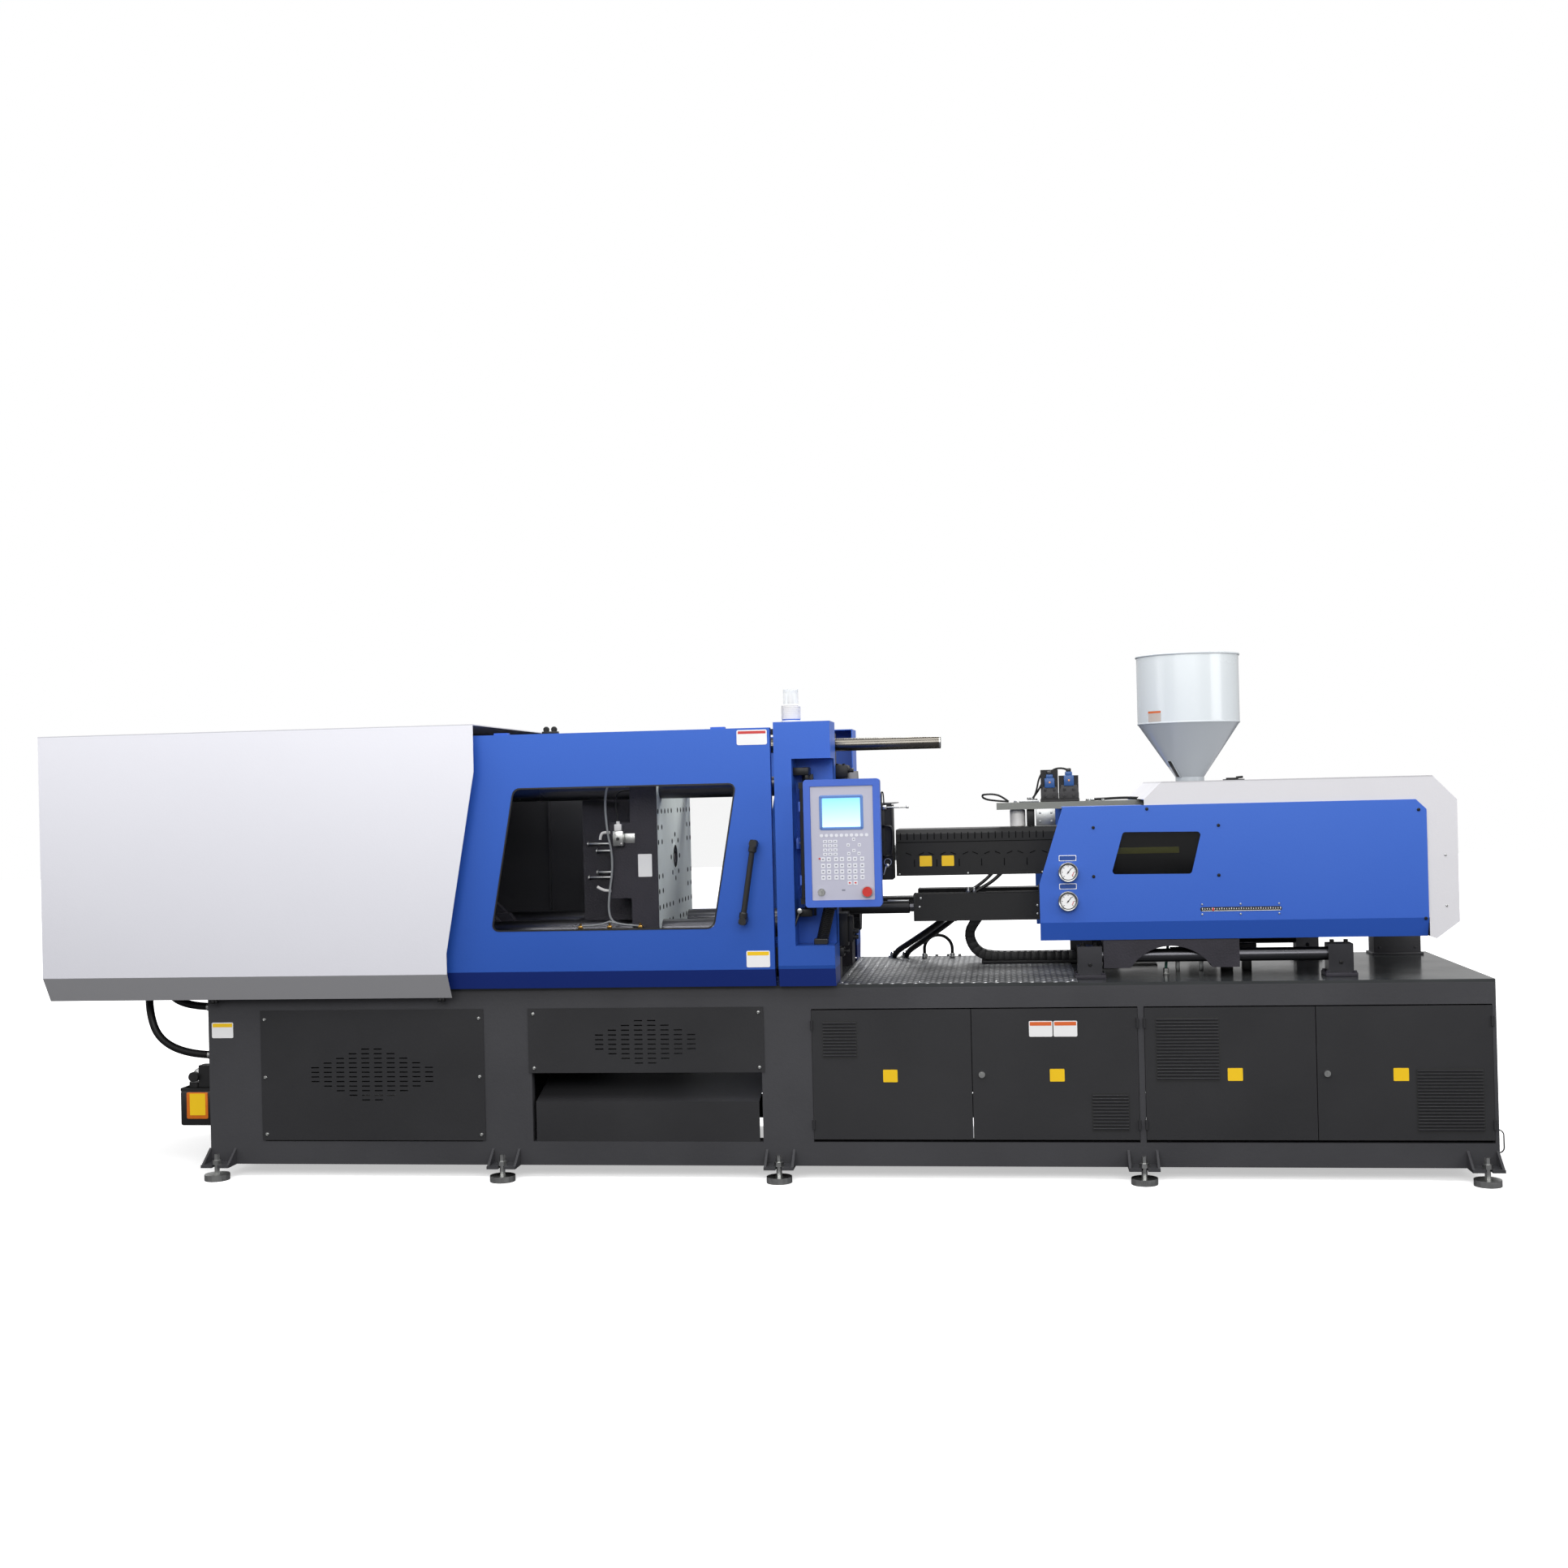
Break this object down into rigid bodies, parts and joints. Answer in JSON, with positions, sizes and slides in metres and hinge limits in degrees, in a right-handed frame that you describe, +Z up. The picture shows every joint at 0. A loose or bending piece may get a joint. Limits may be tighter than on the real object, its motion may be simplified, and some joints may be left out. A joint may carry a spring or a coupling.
{
  "type": "injection moulding machine",
  "caption": "Horizontal toggle-clamp injection moulding machine on a long base, with sliding safety doors, a swivelling control panel, an injection carriage and a conical hopper.",
  "frame": {"origin": "middle of the machine outline on the floor", "axes": "+X along the machine from the clamp end to the injection end, -Y towards the operator, +Z up"},
  "size_m": [6.12, 1.4533, 2.183],
  "materials": {
    "base_paint": "satin dark grey paint",
    "white_paint": "satin white paint",
    "blue_paint": "satin blue paint",
    "cast_platen": "machined casting, painted sides",
    "bar_steel": "hard chromed and ground",
    "machined_steel": "machined",
    "dark_steel": "oil-blacked steel",
    "clear_panel": "clear polycarbonate",
    "black_plastic": "moulded",
    "panel_plastic": "powder coated housing",
    "red_plastic": "moulded",
    "hopper_paint": "gloss white paint",
    "tank_plastic": "moulded tank",
    "hose_rubber": "smooth rubber"
  },
  "bodies": {
    "machine_base": {"base_frame": "base_paint", "levelling_feet": "machined_steel", "deck": "base_paint", "vent_panel": "base_paint", "discharge_panel": "base_paint", "discharge_chute": "base_paint", "rear_panels": "base_paint", "fixed_platen": "cast_platen", "tie_bars": "bar_steel", "guard_frame": "base_paint", "clamp_cover_front": "white_paint", "clamp_cover_rear": "white_paint", "clamp_cover_top": "white_paint", "column_cover_front": "blue_paint", "column_cover_rear": "blue_paint", "beacon_lens": "clear_panel", "panel_bracket": "base_paint", "lubricator": "tank_plastic", "slide_rods": "bar_steel", "hydraulic_hoses": "hose_rubber"},
    "cabinet_door_1_body": {"cabinet_door_1": "base_paint"},
    "cabinet_door_2_body": {"cabinet_door_2": "base_paint"},
    "cabinet_door_3_body": {"cabinet_door_3": "base_paint"},
    "cabinet_door_4_body": {"cabinet_door_4": "base_paint"},
    "cabinet_lock_1_body": {"cabinet_lock_1": "machined_steel"},
    "cabinet_lock_2_body": {"cabinet_lock_2": "machined_steel"},
    "front_door_body": {"front_door": "blue_paint", "front_window": "clear_panel", "front_handle": "black_plastic"},
    "rear_door_body": {"rear_door": "blue_paint", "rear_window": "clear_panel"},
    "tail_stock_body": {"tail_stock": "cast_platen", "clamp_cylinder": "dark_steel", "tail_nuts": "machined_steel"},
    "crosshead_body": {"crosshead": "cast_platen"},
    "rear_link_upper_body": {"rear_link_upper": "cast_platen"},
    "front_link_upper_body": {"front_link_upper": "cast_platen"},
    "crosshead_link_upper_body": {"crosshead_link_upper": "cast_platen"},
    "rear_link_lower_body": {"rear_link_lower": "cast_platen"},
    "front_link_lower_body": {"front_link_lower": "cast_platen"},
    "crosshead_link_lower_body": {"crosshead_link_lower": "cast_platen"},
    "moving_platen_body": {"moving_platen": "cast_platen", "ejector_cylinder": "dark_steel", "safety_rod": "dark_steel"},
    "ejector_body": {"ejector_rod": "bar_steel"},
    "control_panel_body": {"control_panel": "panel_plastic"},
    "emergency_stop_body": {"emergency_stop": "red_plastic"},
    "key_switch_body": {"key_switch": "machined_steel"},
    "carriage_body": {"injection_carriage": "cast_platen", "barrel": "machined_steel", "carriage_cylinders": "base_paint", "barrel_cover": "black_plastic", "valve_block": "machined_steel", "injection_cover_front": "blue_paint", "injection_cover_rear": "blue_paint", "injection_hood": "white_paint", "hopper": "hopper_paint"},
    "injection_plate_body": {"injection_plate": "cast_platen"},
    "screw_body": {"screw": "machined_steel"},
    "purge_guard_body": {"purge_guard": "dark_steel"}
  },
  "joints": [
    {"name": "cabinet_door_1_hinge", "type": "hinge", "parent": "machine_base", "child": "cabinet_door_1_body", "pos_m": [0.3065, -0.5863, 0.434], "axis": [0, 0, -1], "range_deg": [0, 90]},
    {"name": "cabinet_door_2_hinge", "type": "hinge", "parent": "machine_base", "child": "cabinet_door_2_body", "pos_m": [1.6495, -0.5863, 0.434], "axis": [0, 0, 1], "range_deg": [0, 90]},
    {"name": "cabinet_door_3_hinge", "type": "hinge", "parent": "machine_base", "child": "cabinet_door_3_body", "pos_m": [1.6775, -0.5863, 0.434], "axis": [0, 0, -1], "range_deg": [0, 90]},
    {"name": "cabinet_door_4_hinge", "type": "hinge", "parent": "machine_base", "child": "cabinet_door_4_body", "pos_m": [3.0435, -0.5863, 0.434], "axis": [0, 0, 1], "range_deg": [0, 90]},
    {"name": "cabinet_lock_1_turn", "type": "hinge", "parent": "cabinet_door_2_body", "child": "cabinet_lock_1_body", "pos_m": [1.0115, -0.583, 0.437], "axis": [0, 1, 0], "range_deg": [0, 90]},
    {"name": "cabinet_lock_2_turn", "type": "hinge", "parent": "cabinet_door_4_body", "child": "cabinet_lock_2_body", "pos_m": [2.3985, -0.583, 0.437], "axis": [0, 1, 0], "range_deg": [0, 90]},
    {"name": "front_door_slide", "type": "slide", "parent": "machine_base", "child": "front_door_body", "axis": [-1, 0, 0], "range_m": [0, 0.95]},
    {"name": "rear_door_slide", "type": "slide", "parent": "machine_base", "child": "rear_door_body", "axis": [-1, 0, 0], "range_m": [0, 0.95]},
    {"name": "mould_height_slide", "type": "slide", "parent": "machine_base", "child": "tail_stock_body", "axis": [1, 0, 0], "range_m": [0, 0.36]},
    {"name": "clamp_slide", "type": "slide", "parent": "tail_stock_body", "child": "moving_platen_body", "axis": [1, 0, 0], "range_m": [-0.44, 0]},
    {"name": "crosshead_slide", "type": "slide", "parent": "tail_stock_body", "child": "crosshead_body", "axis": [1, 0, 0], "range_m": [-0.21825, 0.0005]},
    {"name": "rear_link_upper_hinge", "type": "hinge", "parent": "tail_stock_body", "child": "rear_link_upper_body", "pos_m": [-1.36, 0, 1.675], "axis": [0, 1, 0], "range_deg": [-0.1, 81.25]},
    {"name": "front_link_upper_hinge", "type": "hinge", "parent": "rear_link_upper_body", "child": "front_link_upper_body", "pos_m": [-1.1, 0, 1.675], "axis": [0, -1, 0], "range_deg": [-0.1, 162.4]},
    {"name": "crosshead_link_upper_hinge", "type": "hinge", "parent": "crosshead_body", "child": "crosshead_link_upper_body", "pos_m": [-1.396, 0, 1.465], "axis": [0, 1, 0], "range_deg": [-0.1, 28.58]},
    {"name": "rear_link_lower_hinge", "type": "hinge", "parent": "tail_stock_body", "child": "rear_link_lower_body", "pos_m": [-1.36, 0, 1.015], "axis": [0, -1, 0], "range_deg": [-0.1, 81.25]},
    {"name": "front_link_lower_hinge", "type": "hinge", "parent": "rear_link_lower_body", "child": "front_link_lower_body", "pos_m": [-1.1, 0, 1.015], "axis": [0, 1, 0], "range_deg": [-0.1, 162.4]},
    {"name": "crosshead_link_lower_hinge", "type": "hinge", "parent": "crosshead_body", "child": "crosshead_link_lower_body", "pos_m": [-1.396, 0, 1.225], "axis": [0, -1, 0], "range_deg": [-0.1, 28.58]},
    {"name": "ejector_slide", "type": "slide", "parent": "moving_platen_body", "child": "ejector_body", "axis": [1, 0, 0], "range_m": [0, 0.12]},
    {"name": "panel_swivel", "type": "hinge", "parent": "machine_base", "child": "control_panel_body", "pos_m": [0.3, -0.668, 1.41], "axis": [0, 0, -1], "range_deg": [0, 90]},
    {"name": "emergency_stop_press", "type": "slide", "parent": "control_panel_body", "child": "emergency_stop_body", "axis": [0, 1, 0], "range_m": [0, 0.004], "stiffness_N_per_m": 600},
    {"name": "key_turn", "type": "hinge", "parent": "control_panel_body", "child": "key_switch_body", "pos_m": [0.378, -0.73, 1.211], "axis": [0, 1, 0], "range_deg": [0, 90]},
    {"name": "carriage_slide", "type": "slide", "parent": "machine_base", "child": "carriage_body", "axis": [1, 0, 0], "range_m": [0, 0.35]},
    {"name": "injection_slide", "type": "slide", "parent": "carriage_body", "child": "injection_plate_body", "axis": [1, 0, 0], "range_m": [0, 0.2]},
    {"name": "screw_spin", "type": "hinge", "parent": "injection_plate_body", "child": "screw_body", "pos_m": [2.11, 0, 1.345], "axis": [1, 0, 0], "continuous": true},
    {"name": "purge_guard_hinge", "type": "hinge", "parent": "machine_base", "child": "purge_guard_body", "pos_m": [0.45, 0.26, 1.567], "axis": [-1, 0, 0], "range_deg": [0, 80]}
  ],
  "couplings": [
    {"joint": "crosshead_slide", "follows": "clamp_slide", "ratio": 0.49488},
    {"joint": "rear_link_upper_hinge", "follows": "clamp_slide", "rad_per_m": -3.2189},
    {"joint": "front_link_upper_hinge", "follows": "clamp_slide", "rad_per_m": -6.4379},
    {"joint": "crosshead_link_upper_hinge", "follows": "clamp_slide", "rad_per_m": -1.1296},
    {"joint": "rear_link_lower_hinge", "follows": "clamp_slide", "rad_per_m": -3.2189},
    {"joint": "front_link_lower_hinge", "follows": "clamp_slide", "rad_per_m": -6.4379},
    {"joint": "crosshead_link_lower_hinge", "follows": "clamp_slide", "rad_per_m": -1.1296}
  ]
}
